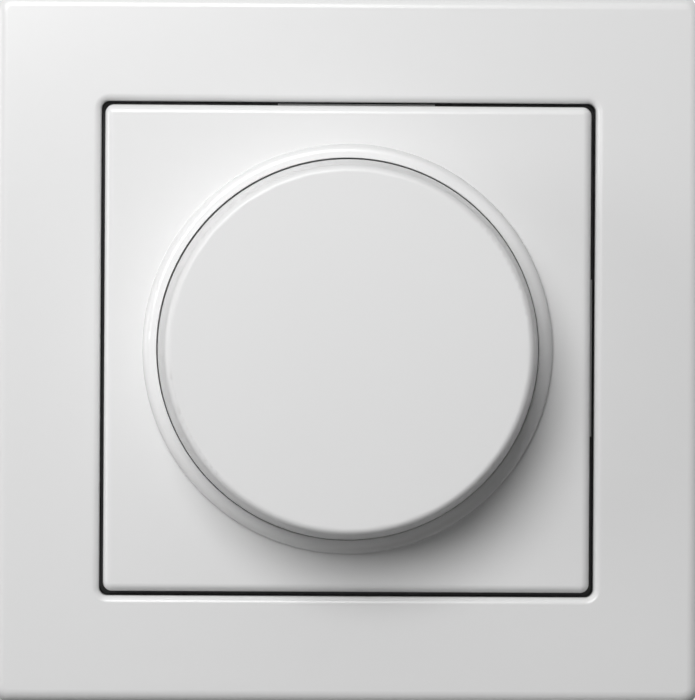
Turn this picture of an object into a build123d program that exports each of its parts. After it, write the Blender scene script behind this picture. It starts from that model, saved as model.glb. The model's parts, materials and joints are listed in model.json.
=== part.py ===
# A push-and-turn dimmer switch for a round flush wall box: a square cover frame, a square
# centre plate with a raised collar, a large plain knob, and the insert behind them.
# +X is to the right seen from the front, +Z is up, and the front faces -Y.
# The wall is the plane Y = 0 and the knob's axis runs along Y through the origin.
# A level is a distance in front of the wall, so it is negative inside the wall box.
from build123d import *
from math import cos, radians, sin, sqrt
import os

os.makedirs("parts", exist_ok=True)

# Angles in degrees
full_turn = 360.0
quarter_turn = full_turn / 4

# Cover frame
frame_size = 80.5  # outline at the wall
frame_front = 9.6  # level of the front face
frame_wall = 2.0
frame_draft = 1.0  # degrees that the outer sides lean in
frame_corner_r = 2.2
frame_inner_corner_r = 1.0
frame_edge_round = 1.5
window_gap = 0.46  # mean play between the centre plate and the window, on each side
window_corner_r = 0.9
window_edge_round = 0.8
window_skirt_wall = 1.6
window_skirt_depth = 6.4  # from the front face to the skirt's end
ledge_width = 1.6
ledge_thickness = 1.2
frame_rib_thickness = 1.0
frame_rib_depth = 2.0
frame_rib_spacing = 18.0
frame_ribs_per_side = 3

# Centre plate
plate_size = 55.0
plate_stand = 0.2  # how far its face stands in front of the frame's face
plate_shift = (-0.04, 0.06)  # it sits a little left and up in the window, as its play lets it
plate_wall = 2.0
plate_skirt_wall = 1.5
plate_corner_r = 1.0
plate_edge_round = 0.9
lug_length = 17.8
lug_shift = 0.9  # along the plate's side, clockwise
lug_proud = 0.25
lug_depth = 2.0  # from the plate's face to the lugs
plate_rib_thickness = 1.0
plate_rib_depth = 1.4
collar_gap = 0.11  # mean radial play round the knob's foot
collar_width = 1.6
collar_rise = 1.5  # in front of the plate's face
collar_round = 0.9
collar_inner_round = 0.15
dish_clearance = 0.4  # left under the knob when it is pressed
dish_thickness = 1.6

# Knob
knob_foot_r = 21.45
knob_face_r = 20.7
knob_height = 11.3
knob_sink = 0.3  # how far its foot sits below the plate's face
knob_band = 0.3  # from the collar's top to where the side starts to lean in
knob_edge_round = 0.6
knob_foot_round = 0.3
knob_wall = 1.8
knob_face_thickness = 2.0
hub_r = 4.5
hub_clearance = 0.4  # left in front of the bushing when the knob is pressed
hub_slit = 0.8
hub_slit_depth = 3.9
knob_rib_count = 6
knob_rib_thickness = 1.0
knob_rib_depth = 2.4
knob_bore_play = 0.03
clip_thickness = 0.5
clip_width = 2.5
clip_inset = 0.4  # from the hub's end to the clip
clip_opening = 60.0  # degrees

# Shaft, its bushing and the two nuts
push_travel = 1.5
shaft_r = 3.0
shaft_top_gap = 0.4  # between the shaft's end and the knob's face
shaft_flat = 1.5  # from the axis to the flat that drives the knob
shaft_key_flat = 2.3  # from the axis to the two flats that drive the wiper
shaft_chamfer = 0.4
bushing_r = 5.0
bushing_bore_play = 0.04
bushing_flange_r = 7.0
bushing_stand = 0.3  # how far the bushing stands out of the plate nut
nut_across_flats = 14.0
nut_thickness = 2.0
nut_play = 0.03
nut_chamfer = 0.35
plate_hole_play = 0.2
ring_gap = 0.1  # between the retaining ring and the bushing
ring_thickness = 0.6
ring_inner_r = 2.6
ring_outer_r = 4.0
ring_opening = 50.0  # degrees
shaft_end_gap = 0.3  # from the pressed shaft's end to the switch

# Support frame
support_margin = 2.75  # from the cover frame's wall
support_thickness = 1.2
support_corner_r = 6.0
box_screw_spacing = 60.0
box_slot_r = 1.9
box_slot_length = 5.6

# Housing behind the support frame
insulator_thickness = 1.2
insulator_play = 0.1
housing_size = 50.0
housing_reach = 3.5  # from the flat sides to the round sides
housing_depth = 24.0  # from the wall to the housing's back
housing_wall = 1.6
housing_floor = 2.0
housing_back_round = 0.8
bay_depth = 5.6  # claw bays, from the housing's side inwards
bay_width = 10.4
boss_inset = 2.63  # from the round side to a boss's axis
boss_angle = 41.08  # degrees from the X axis
boss_r = 2.4
boss_step_r = 3.2
fixing_screw_r = 1.1
fixing_head_r = 2.0
fixing_head_height = 1.3
recess_share = 0.6  # a cross recess's reach over its head's radius
fixing_length = 13.2
screw_play = 0.1
recess_width = 0.6
recess_depth = 0.7
claw_recess_depth = 1.05

# Terminals
terminal_boss_gap = 0.3006  # from the outer clamps to the steps of the housing's bosses
terminal_inset = 9.0  # from the housing's lower side to the clamps' middle
terminal_size = 8.0
terminal_height = 9.0
terminal_corner = 0.5
terminal_bore_r = 2.0
terminal_bore_depth = 7.0
wire_entry_r = 1.7
terminal_screw_r = 1.25
terminal_head_r = 1.9
terminal_head_height = 1.4
terminal_head_gap = 1.2  # the screws stand open by this much
terminal_tail_width = 3.0
terminal_tail_thickness = 0.8
screw_access_r = 2.2

# Claws that grip the wall box
claw_screw_inset = 0.6  # from the housing's side to the screw's axis
claw_screw_r = 1.25
claw_head_r = 2.7
claw_head_height = 1.8
claw_head_chamfer = 0.6
claw_screw_end = -16.0
pivot_inset = 1.4  # from the bay's wall to the claw's pivot
pivot_level = -3.6
pivot_r = 1.0
pivot_play = 0.05
pivot_depth = 0.9  # how far the pivot's ends reach into the bay's sides
claw_thickness = 1.2
claw_bend_r = 0.7
claw_width = 8.0
claw_arm_gap = 1.8  # from the screw's axis to the arm
claw_end = -20.0
claw_tooth_height = 1.4
claw_tooth_spacing = 2.0
claw_tooth_count = 3
claw_slot_length = 4.3
claw_slot_width = 3.0
claw_nut_round_r = 2.0
claw_nut_height = 4.0
claw_nut_inner = 1.9  # from the screw's axis towards the pivot
claw_nut_outer = 1.6  # from the screw's axis towards the arm
claw_nut_width = 7.0
thread_play = 0.02

# Potentiometer
pot_r = 8.0
pot_wall = 0.8
pot_depth = 6.8
pot_stop_depth = 0.7
pot_stop_half_angle = 17.5
rotor_gap = 0.3  # behind the retaining ring when the knob is pressed
rotor_r = 6.2
rotor_thickness = 1.5
rotor_hub_r = 4.2
rotor_floor_gap = 0.1
rotor_key_play = 0.05
rotor_bore_play = 0.05
rotor_lug_r = 7.0
rotor_lug_half_angle = 12.0
rotor_lug_angle = 240.0
track_inner_r = 4.6
track_outer_r = 6.3
track_thickness = 0.4
track_span = 300.0
wiper_thickness = 0.3
wiper_gap = 0.05
wiper_finger_width = 0.8
wiper_span = 60.0  # degrees
pot_pin_spacing = 2.5
pot_pin_z = -5.4
pot_pin_inset = 0.2  # from the board's back to the pins' ends

# Circuit board and what is on it
board_thickness = 1.6
board_play = 0.3
boss_notch_play = 0.2
board_hole_r = 3.4
lead_r = 0.35
lead_hole_play = 0.15
lead_stub = 0.6

# Push switch behind the board
switch_size = 12.0
switch_depth = 8.4
switch_wall = 1.2
switch_front = 1.0
switch_floor = 0.8
slider_r = 2.6
slider_play = 0.2
slider_flange_r = 4.2
slider_flange_thickness = 1.0
slider_flange_gap = 0.4
slider_pin_r = 2.2
slider_end_gap = 0.2
spring_wire = 0.5
spring_mean_r = 2.85
spring_turns = 5
spring_end_gap = 0.05
contact_side_gap = 0.2  # from the bridge to the strips
contact_width = 5.6
contact_thickness = 0.3
contact_gap = 0.05
terminal_strip = 0.4
terminal_strip_width = 2.0
terminal_foot = 1.5

# Triac on the support frame
triac_x = 0.0
triac_z = 15.5
triac_width = 10.2
triac_body_length = 8.8
triac_tab_length = 6.1
triac_tab_thickness = 1.3
triac_thickness = 4.6
triac_hole_r = 1.8
triac_lead_spacing = 2.54
triac_lead_reach = 1.5
thermal_pad_thickness = 0.3
triac_window_play = 0.7
triac_screw_r = 1.5
triac_screw_head_r = 2.75
triac_screw_head_height = 1.6
triac_nut_across_flats = 5.5
triac_nut_thickness = 2.4
triac_screw_tail = 0.6

# Filter parts, fuse and small parts
choke_gap = 0.48  # to the step of the housing's boss
choke_drop = 4.0  # below the boss's axis
choke_side_play = 0.107117  # in the room between the housing's boss and the switch's corner
choke_ring_width = 4.3  # of the wound ring, from its hole to its outside
choke_height = 7.0
choke_wire = 0.8  # depth of the winding over the core
choke_play = 0.05  # between the core and its winding
choke_span = 320.0
choke_lift = 0.9  # from the board's back to the winding
big_capacitor_gap = 0.8  # to the step of the housing's boss
big_capacitor_drop = 4.0  # below the boss's axis
big_capacitor_length = 13.0
big_capacitor_width = 6.0
big_capacitor_height = 11.0
big_capacitor_pin_spacing = 10.0
small_capacitor_inset = 8.9  # from the housing's side to the capacitor's middle
small_capacitor_z = -9.5
small_capacitor_length = 5.0
small_capacitor_width = 2.6
small_capacitor_height = 5.0
small_capacitor_pin_spacing = 3.0
capacitor_chamfer = 0.5
resistor_r = 1.2
resistor_length = 6.5
resistor_reach = 5.0  # from the middle to each lead
axial_chamfer = 0.35
axial_shares = (0.3, 0.7)  # of the room between the potentiometer and the housing's bay
diac_r = 1.0
diac_length = 4.2
fuse_z = -15.0
fuse_r = 2.45
fuse_cap_r = 2.6
fuse_cap_length = 5.0
fuse_length = 20.0
fuse_lift = 0.5  # from the board to the fuse
fuse_clip_thickness = 0.4
fuse_clip_width = 3.6
fuse_clip_opening = 100.0  # degrees

# Sizes that follow from the ones above
window_size = plate_size + 2 * window_gap
skirt_end = frame_front - window_skirt_depth
ledge_level = skirt_end + ledge_thickness
ledge_opening = window_size - 2 * ledge_width
channel_inner = window_size / 2 + window_skirt_wall
channel_outer = frame_size / 2 - frame_wall
channel_middle = (channel_inner + channel_outer) / 2
plate_front = frame_front + plate_stand
knob_foot_level = plate_front - knob_sink
knob_face_level = knob_foot_level + knob_height
knob_ceiling = knob_face_level - knob_face_thickness
collar_inner_r = knob_foot_r + collar_gap
collar_outer_r = collar_inner_r + collar_width
collar_top = plate_front + collar_rise
plate_x, plate_z = plate_shift
knob_lean_level = collar_top + knob_band
dish_floor = knob_foot_level - push_travel - dish_clearance
dish_bottom = dish_floor - dish_thickness
bushing_end = dish_floor + nut_thickness + bushing_stand
hub_end = bushing_end + push_travel + hub_clearance
shaft_top = knob_ceiling - shaft_top_gap
support_size = frame_size - 2 * (frame_wall + support_margin)
housing_r = housing_size / 2 + housing_reach
boss_x = (housing_r - boss_inset) * cos(radians(boss_angle))
boss_z = (housing_r - boss_inset) * sin(radians(boss_angle))
housing_front = -insulator_thickness
housing_back = -housing_depth
floor_level = housing_back + housing_floor
bay_x = housing_size / 2 - bay_depth
ring_level = housing_front - ring_gap
rotor_front = ring_level - ring_thickness - push_travel - rotor_gap
pot_back = housing_front - pot_depth
pot_floor = pot_back + pot_wall
board_front = pot_back
board_back = board_front - board_thickness
shaft_end = board_back + push_travel + shaft_end_gap
switch_back = board_back - switch_depth
slider_flange_front = board_back - switch_front - slider_flange_gap
slider_flange_back = slider_flange_front - slider_flange_thickness
switch_cavity_floor = switch_back + switch_floor
slider_end = switch_cavity_floor + push_travel + slider_end_gap
spring_room = spring_wire + 2 * spring_end_gap
strip_inner = switch_size / 2 - switch_wall - terminal_strip
claw_screw_x = housing_size / 2 - claw_screw_inset
pivot_x = bay_x + pivot_inset
arm_x = claw_screw_x + claw_arm_gap
claw_nut_level = pivot_level - claw_thickness / 2 - claw_nut_round_r
terminal_spacing = boss_x - boss_step_r - terminal_boss_gap - terminal_size / 2
terminal_front = floor_level + terminal_height
terminal_screw_level = floor_level + terminal_height / 2
lead_hole_r = lead_r + lead_hole_play
side_room = bay_x - housing_wall - pot_r
inner_axial_x, outer_axial_x = [pot_r + share * side_room for share in axial_shares]
resistor_x = (-outer_axial_x, -inner_axial_x, inner_axial_x)
diac_x = outer_axial_x
choke_room = sqrt((boss_x - switch_size / 2) ** 2 + (boss_z - switch_size / 2) ** 2)
choke_outer_r = (choke_room - boss_step_r) / 2 - choke_side_play
choke_inner_r = choke_outer_r - choke_ring_width
choke_z = boss_z - choke_drop
choke_reach = choke_outer_r + boss_step_r + choke_gap
choke_x = sqrt(choke_reach**2 - choke_drop**2) - boss_x
big_capacitor_x = boss_x - boss_step_r - big_capacitor_gap - big_capacitor_length / 2
big_capacitor_z = boss_z - big_capacitor_drop
small_capacitor_x = housing_size / 2 - housing_wall - small_capacitor_inset
triac_left = triac_x - (triac_body_length + triac_tab_length) / 2
triac_right = triac_left + triac_body_length + triac_tab_length
triac_hole_x = triac_right - triac_tab_length / 2
triac_back = -thermal_pad_thickness - triac_thickness
triac_lead_x = triac_left - triac_lead_reach
fuse_level = board_front + fuse_lift + fuse_cap_r

terminal_z = terminal_inset - housing_size / 2
terminal_places = [(i * terminal_spacing, terminal_z) for i in (-1, 0, 1)]
boss_places = [(x, z) for x in (-boss_x, boss_x) for z in (-boss_z, boss_z)]
claw_screw_places = [(-claw_screw_x, 0), (claw_screw_x, 0)]
pot_pin_places = [(i * pot_pin_spacing, pot_pin_z) for i in (-1, 0, 1)]
triac_lead_places = [(triac_lead_x, triac_z + i * triac_lead_spacing) for i in (-1, 0, 1)]
big_capacitor_pins = [
    (big_capacitor_x + i * big_capacitor_pin_spacing / 2, big_capacitor_z) for i in (-1, 1)
]
small_capacitor_pins = [
    (small_capacitor_x + i * small_capacitor_pin_spacing / 2, small_capacitor_z) for i in (-1, 1)
]
axial_pins = [(x, i * resistor_reach) for x in (*resistor_x, diac_x) for i in (-1, 1)]

# A turned piece is drawn as radius against level and turned about the knob's axis.
turning_plane = Plane(origin=(0, 0, 0), x_dir=(1, 0, 0), z_dir=(0, 0, -1))


def level(height):
    """The plane parallel to the wall at this level, seen from the front."""
    return Plane.XZ.offset(height)


def plate_level(height):
    """The same plane about the middle of the centre plate, which sits off the knob's axis."""
    return Plane(origin=(plate_x, -height, plate_z), x_dir=(1, 0, 0), z_dir=(0, -1, 0))


def housing_outline(inset):
    """Draw the housing's outline, set in by a wall, into the open sketch."""
    Rectangle(housing_size - 2 * inset, housing_size - 2 * inset)
    Circle(housing_r - inset, mode=Mode.INTERSECT)
    for side in (-1, 1):
        with Locations((side * (bay_x - inset + housing_size / 2), 0)):
            Rectangle(housing_size, bay_width + 2 * inset, mode=Mode.SUBTRACT)


def ring_sector(inner_r, outer_r, start, span):
    """Draw a part of a flat ring into the open sketch, from an angle and over an angle."""
    with BuildLine() as edge:
        inside = CenterArc((0, 0), inner_r, start, span)
        outside = CenterArc((0, 0), outer_r, start, span)
        Line(inside @ 0, outside @ 0)
        Line(inside @ 1, outside @ 1)
    make_face(edge.edges())


def turned(points):
    """Draw a closed outline of radius and level points into the open sketch."""
    with BuildLine() as edge:
        Polyline(*points, close=True)
    make_face(edge.edges())


# The cover frame is one moulding: outer walls that meet the wall, a front face, and a skirt
# round the window with a ledge that the centre plate presses on.
with BuildPart() as cover_frame:
    with BuildSketch(level(0)):
        RectangleRounded(frame_size, frame_size, frame_corner_r)
    extrude(amount=frame_front, taper=frame_draft)
    fillet(cover_frame.faces().sort_by(Axis.Y)[0].edges(), frame_edge_round)
    with BuildSketch(level(0)):
        RectangleRounded(2 * channel_outer, 2 * channel_outer, frame_inner_corner_r)
    extrude(amount=frame_front - frame_wall, taper=frame_draft, mode=Mode.SUBTRACT)
    with BuildSketch(level(skirt_end)):
        RectangleRounded(2 * channel_inner, 2 * channel_inner, window_corner_r + window_skirt_wall)
    extrude(amount=window_skirt_depth - frame_wall / 2)
    with BuildSketch(level(frame_front - frame_wall - frame_rib_depth)):
        channel_width = channel_outer - channel_inner
        with GridLocations(frame_rib_spacing, 2 * channel_middle, frame_ribs_per_side, 2):
            Rectangle(frame_rib_thickness, channel_width + frame_wall / 2)
        with GridLocations(2 * channel_middle, frame_rib_spacing, 2, frame_ribs_per_side):
            Rectangle(channel_width + frame_wall / 2, frame_rib_thickness)
    extrude(amount=frame_rib_depth + frame_wall / 2)
    with BuildSketch(level(ledge_level)):
        RectangleRounded(window_size, window_size, window_corner_r)
    extrude(amount=frame_front - ledge_level, mode=Mode.SUBTRACT)
    with BuildSketch(level(skirt_end)):
        Rectangle(ledge_opening, ledge_opening)
    extrude(amount=ledge_thickness, mode=Mode.SUBTRACT)
    fillet(cover_frame.faces().sort_by(Axis.Y)[0].inner_wires()[0].edges(), window_edge_round)
cover_frame.part.label = "cover_frame"
export_step(cover_frame.part, "parts/cover_frame.step")

# The centre plate carries the collar round the knob's foot. Its dish takes the nut that holds
# plate and frame, and its skirt stands on the frame's ledge, with a lug above and on the right.
with BuildPart() as centre_plate:
    with BuildSketch(plate_level(ledge_level)):
        RectangleRounded(plate_size, plate_size, plate_corner_r)
    extrude(amount=plate_front - ledge_level)
    fillet(centre_plate.faces().sort_by(Axis.Y)[0].edges(), plate_edge_round)
    with BuildSketch(plate_level(ledge_level)):
        with Locations((lug_shift, 0)):
            Rectangle(lug_length, plate_size / 2 + lug_proud, align=(Align.CENTER, Align.MIN))
        with Locations((0, -lug_shift)):
            Rectangle(plate_size / 2 + lug_proud, lug_length, align=(Align.MIN, Align.CENTER))
    extrude(amount=plate_front - lug_depth - ledge_level)
    with BuildSketch(plate_level(ledge_level)):
        Rectangle(plate_size - 2 * plate_skirt_wall, plate_size - 2 * plate_skirt_wall)
    extrude(amount=plate_front - plate_wall - ledge_level, mode=Mode.SUBTRACT)
    with BuildSketch(plate_level(plate_front - plate_wall - plate_rib_depth)):
        for angle in (quarter_turn / 2, 3 * quarter_turn / 2):
            with Locations(Location((0, 0), angle)):
                Rectangle(plate_size, plate_rib_thickness)
    extrude(amount=plate_rib_depth + plate_wall / 2)
    with BuildSketch(plate_level(dish_bottom)):
        Circle((collar_inner_r + collar_outer_r) / 2)
    extrude(amount=plate_front - dish_bottom, mode=Mode.SUBTRACT)
    with BuildSketch(Plane(origin=(plate_x, 0, plate_z), x_dir=(1, 0, 0), z_dir=(0, 0, -1))):
        turned(
            [
                (bushing_r + plate_hole_play, dish_bottom),
                (collar_outer_r, dish_bottom),
                (collar_outer_r, collar_top),
                (collar_inner_r, collar_top),
                (collar_inner_r, dish_floor),
                (bushing_r + plate_hole_play, dish_floor),
            ]
        )
    revolve(axis=Axis((plate_x, 0, plate_z), (0, 1, 0)))
    collar_edges = centre_plate.faces().sort_by(Axis.Y)[0].edges().sort_by(SortBy.RADIUS)
    fillet(collar_edges[-1], collar_round)
    collar_edges = centre_plate.faces().sort_by(Axis.Y)[0].edges().sort_by(SortBy.RADIUS)
    fillet(collar_edges[0], collar_inner_round)
centre_plate.part.label = "centre_plate"
export_step(centre_plate.part, "parts/centre_plate.step")

# The knob is a thin-walled cup with a hub, and stiffening ribs under its face.
with BuildPart() as knob:
    with BuildSketch(turning_plane):
        turned(
            [
                (0, knob_foot_level),
                (knob_foot_r, knob_foot_level),
                (knob_foot_r, knob_lean_level),
                (knob_face_r, knob_face_level),
                (0, knob_face_level),
            ]
        )
    revolve(axis=Axis.Y)
    fillet(knob.faces().sort_by(Axis.Y)[0].edges(), knob_edge_round)
    fillet(knob.faces().sort_by(Axis.Y)[-1].edges(), knob_foot_round)
    with BuildSketch(turning_plane):
        turned(
            [
                (0, knob_foot_level),
                (knob_foot_r - knob_wall, knob_foot_level),
                (knob_foot_r - knob_wall, knob_lean_level),
                (knob_face_r - knob_wall, knob_ceiling),
                (0, knob_ceiling),
            ]
        )
    revolve(axis=Axis.Y, mode=Mode.SUBTRACT)
    with BuildSketch(level(knob_ceiling - knob_rib_depth)):
        with PolarLocations(0, knob_rib_count, start_angle=quarter_turn / knob_rib_count):
            with Locations(((knob_face_r - knob_wall / 2) / 2, 0)):
                Rectangle(knob_face_r - knob_wall / 2, knob_rib_thickness)
    extrude(amount=knob_rib_depth + knob_face_thickness / 2)
    with BuildSketch(level(hub_end)):
        Circle(hub_r)
    extrude(amount=knob_ceiling + knob_face_thickness / 2 - hub_end)
    with BuildSketch(level(hub_end)):
        Circle(shaft_r + knob_bore_play)
        with Locations((0, shaft_flat + knob_bore_play)):
            Rectangle(2 * hub_r, 2 * hub_r, align=(Align.CENTER, Align.MIN), mode=Mode.SUBTRACT)
    extrude(amount=shaft_top + shaft_top_gap / 2 - hub_end, mode=Mode.SUBTRACT)
    with BuildSketch(level(hub_end)):
        Rectangle(2 * hub_r, hub_slit)
    extrude(amount=hub_slit_depth, mode=Mode.SUBTRACT)
knob.part.label = "knob"
export_step(knob.part, "parts/knob.step")

# A split spring ring squeezes the slit hub onto the shaft.
with BuildPart() as knob_clip:
    with BuildSketch(level(hub_end + clip_inset)):
        ring_sector(hub_r, hub_r + clip_thickness, quarter_turn + clip_opening / 2, full_turn - clip_opening)
    extrude(amount=clip_width)
knob_clip.part.label = "knob_clip"
export_step(knob_clip.part, "parts/knob_clip.step")

# The shaft has one flat for the knob, two flats for the wiper and a groove for its ring.
with BuildPart() as shaft:
    with BuildSketch(level(shaft_end)):
        Circle(shaft_r)
    extrude(amount=shaft_top - shaft_end)
    chamfer(shaft.edges().filter_by(GeomType.CIRCLE), shaft_chamfer)
    with BuildSketch(level(hub_end)):
        with Locations((0, shaft_flat)):
            Rectangle(2 * shaft_r, shaft_r, align=(Align.CENTER, Align.MIN))
    extrude(amount=shaft_top - hub_end, mode=Mode.SUBTRACT)
    with BuildSketch(level(shaft_end)):
        for side in (-1, 1):
            with Locations((0, side * (shaft_key_flat + shaft_r / 2))):
                Rectangle(2 * shaft_r, shaft_r)
    extrude(amount=ring_level - ring_thickness - ring_gap - shaft_end, mode=Mode.SUBTRACT)
    with BuildSketch(level(ring_level)):
        Circle(shaft_r)
        Circle(ring_inner_r, mode=Mode.SUBTRACT)
    extrude(amount=-ring_thickness, mode=Mode.SUBTRACT)
shaft.part.label = "shaft"
export_step(shaft.part, "parts/shaft.step")

# An open ring snaps into the groove and keeps the shaft from being pulled out.
with BuildPart() as shaft_ring:
    with BuildSketch(level(ring_level)):
        ring_sector(ring_inner_r, ring_outer_r, quarter_turn + ring_opening / 2, full_turn - ring_opening)
    extrude(amount=-ring_thickness)
shaft_ring.part.label = "shaft_ring"
export_step(shaft_ring.part, "parts/shaft_ring.step")

# The bushing guides the shaft, and its flange sits behind the support frame.
with BuildPart() as bushing:
    with BuildSketch(turning_plane):
        turned(
            [
                (shaft_r + bushing_bore_play, housing_front),
                (bushing_flange_r, housing_front),
                (bushing_flange_r, 0),
                (bushing_r, 0),
                (bushing_r, bushing_end - nut_chamfer),
                (bushing_r - nut_chamfer, bushing_end),
                (shaft_r + bushing_bore_play, bushing_end),
            ]
        )
    revolve(axis=Axis.Y)
bushing.part.label = "bushing"
export_step(bushing.part, "parts/bushing.step")

# One nut holds the bushing in the support frame, the other holds the centre plate.
with BuildPart() as bushing_nut:
    with BuildSketch(level(support_thickness)):
        RegularPolygon(nut_across_flats / 2, 6, major_radius=False)
        Circle(bushing_r + nut_play, mode=Mode.SUBTRACT)
    extrude(amount=nut_thickness)
bushing_nut.part.label = "bushing_nut"
export_step(bushing_nut.part, "parts/bushing_nut.step")

with BuildPart() as plate_nut:
    with BuildSketch(level(dish_floor)):
        RegularPolygon(nut_across_flats / 2, 6, major_radius=False)
        Circle(bushing_r + nut_play, mode=Mode.SUBTRACT)
    extrude(amount=nut_thickness)
    chamfer(plate_nut.faces().sort_by(Axis.Y)[0].outer_wire().edges(), nut_chamfer)
plate_nut.part.label = "plate_nut"
export_step(plate_nut.part, "parts/plate_nut.step")

# The support frame is a steel stamping that lies on the wall, with slots for the box screws.
with BuildPart() as support_frame:
    with BuildSketch(level(0)):
        RectangleRounded(support_size, support_size, support_corner_r)
        Circle(bushing_r + nut_play, mode=Mode.SUBTRACT)
        with GridLocations(box_screw_spacing, 0, 2, 1):
            SlotOverall(box_slot_length, 2 * box_slot_r, mode=Mode.SUBTRACT)
        with GridLocations(0, box_screw_spacing, 1, 2):
            SlotOverall(box_slot_length, 2 * box_slot_r, rotation=quarter_turn, mode=Mode.SUBTRACT)
        with Locations(*boss_places):
            Circle(fixing_screw_r + screw_play, mode=Mode.SUBTRACT)
        with Locations(*claw_screw_places):
            Circle(claw_screw_r + screw_play, mode=Mode.SUBTRACT)
        with Locations((triac_hole_x, triac_z)):
            Circle(triac_screw_r + screw_play, mode=Mode.SUBTRACT)
    extrude(amount=support_thickness)
support_frame.part.label = "support_frame"
export_step(support_frame.part, "parts/support_frame.step")

# The insulating cover closes the housing and leaves a window for the triac.
with BuildPart() as insulating_cover:
    with BuildSketch(level(0)):
        housing_outline(0)
        Circle(bushing_flange_r + insulator_play, mode=Mode.SUBTRACT)
        with Locations(*boss_places):
            Circle(fixing_screw_r + screw_play, mode=Mode.SUBTRACT)
        with Locations((triac_x, triac_z)):
            Rectangle(
                triac_body_length + triac_tab_length + 2 * triac_window_play,
                triac_width + 2 * triac_window_play,
                mode=Mode.SUBTRACT,
            )
    extrude(amount=-insulator_thickness)
insulating_cover.part.label = "insulating_cover"
export_step(insulating_cover.part, "parts/insulating_cover.step")

# The housing is a moulded cup for a round wall box. It has an open bay for each claw, bosses
# with steps that carry the board, wire entries in its floor and screw access from below.
with BuildPart() as housing_base:
    with BuildSketch(level(housing_back)):
        housing_outline(0)
    extrude(amount=housing_front - housing_back)
    fillet(housing_base.faces().sort_by(Axis.Y)[-1].edges(), housing_back_round)
    with BuildSketch(level(floor_level)):
        housing_outline(housing_wall)
    extrude(amount=housing_front - floor_level, mode=Mode.SUBTRACT)
    for radius, top in ((boss_step_r, board_back), (boss_r, housing_front)):
        with BuildSketch(level(floor_level)):
            housing_outline(housing_wall / 2)
            with BuildSketch(mode=Mode.INTERSECT):
                with Locations(*boss_places):
                    Circle(radius)
        extrude(amount=top - floor_level)
    with BuildSketch(level(housing_front)):
        with Locations(*boss_places):
            Circle(fixing_screw_r + screw_play)
    extrude(amount=-fixing_length, mode=Mode.SUBTRACT)
    with BuildSketch(level(housing_back)):
        with Locations(*terminal_places):
            Circle(wire_entry_r)
    extrude(amount=housing_floor, mode=Mode.SUBTRACT)
    with BuildSketch(Plane.XY.offset(-housing_size / 2)):
        for x, _ in terminal_places:
            with Locations((x, -terminal_screw_level)):
                Circle(screw_access_r)
    extrude(amount=housing_wall, mode=Mode.SUBTRACT)
    for side in (-1, 1):
        with BuildSketch(turning_plane):
            with Locations((side * pivot_x, pivot_level)):
                Circle(pivot_r + pivot_play)
        extrude(amount=bay_width / 2 + pivot_depth + pivot_play, both=True, mode=Mode.SUBTRACT)
housing_base.part.label = "housing_base"
export_step(housing_base.part, "parts/housing_base.step")

# Four screws clamp the support frame, the insulating cover and the housing together.
with BuildPart() as housing_screws:
    with BuildSketch(level(support_thickness)):
        with Locations(*boss_places):
            Circle(fixing_head_r)
    extrude(amount=fixing_head_height)
    with BuildSketch(level(support_thickness)):
        with Locations(*boss_places):
            Circle(fixing_screw_r)
    extrude(amount=-fixing_length)
    with BuildSketch(level(support_thickness + fixing_head_height)):
        with Locations(*boss_places):
            Rectangle(2 * recess_share * fixing_head_r, recess_width)
            Rectangle(recess_width, 2 * recess_share * fixing_head_r)
    extrude(amount=-recess_depth, mode=Mode.SUBTRACT)
housing_screws.part.label = "housing_screws"
export_step(housing_screws.part, "parts/housing_screws.step")

# Each claw is a bent steel strip: a pivot in the bay's sides, a slotted tab that its nut
# lifts, and an arm with teeth that swings out against the wall box.
with BuildPart() as claw_right:
    arm_outer = arm_x + claw_thickness
    tab_front = pivot_level + claw_thickness / 2
    tab_back = pivot_level - claw_thickness / 2
    with BuildSketch(turning_plane):
        teeth = []
        for i in range(claw_tooth_count):
            root = claw_end + i * claw_tooth_spacing
            teeth += [(arm_outer + claw_tooth_height, root), (arm_outer, root + claw_tooth_spacing)]
        turned(
            [
                (pivot_x, tab_back),
                (arm_x, tab_back),
                (arm_x, claw_end),
                *teeth,
                (arm_outer, tab_front),
                (pivot_x, tab_front),
            ]
        )
    extrude(amount=claw_width / 2, both=True)
    bend_edges = claw_right.edges().filter_by(Axis.Z).sort_by(Axis.Y)
    fillet(bend_edges.group_by(Axis.Y)[0].sort_by(Axis.X)[-1], claw_bend_r)
    with BuildSketch(turning_plane):
        with Locations((pivot_x, pivot_level)):
            Circle(pivot_r)
    extrude(amount=bay_width / 2 + pivot_depth, both=True)
    with BuildSketch(level(pivot_level)):
        with Locations((claw_screw_x, 0)):
            SlotOverall(claw_slot_length, claw_slot_width)
    extrude(amount=claw_thickness, both=True, mode=Mode.SUBTRACT)
claw_right.part.label = "claw_right"
export_step(claw_right.part, "parts/claw_right.step")

with BuildPart() as claw_left:
    mirror(claw_right.part, about=Plane.YZ)
claw_left.part.label = "claw_left"
export_step(claw_left.part, "parts/claw_left.step")

# The claw nut has a half-round back, so the tab rolls on it as the nut climbs the screw.
with BuildPart() as claw_nut_right:
    with BuildSketch(turning_plane):
        with Locations((claw_screw_x, claw_nut_level)):
            Circle(claw_nut_round_r)
            Rectangle(
                2 * claw_nut_round_r,
                claw_nut_height - claw_nut_round_r,
                align=(Align.CENTER, Align.MAX),
            )
        with Locations((claw_screw_x - claw_nut_inner, claw_nut_level + claw_nut_round_r)):
            Rectangle(
                claw_nut_inner + claw_nut_outer,
                claw_nut_height,
                align=(Align.MIN, Align.MAX),
                mode=Mode.INTERSECT,
            )
    extrude(amount=claw_nut_width / 2, both=True)
    with BuildSketch(level(claw_nut_level)):
        with Locations((claw_screw_x, 0)):
            Circle(claw_screw_r + thread_play)
    extrude(amount=claw_nut_height, both=True, mode=Mode.SUBTRACT)
claw_nut_right.part.label = "claw_nut_right"
export_step(claw_nut_right.part, "parts/claw_nut_right.step")

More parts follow.
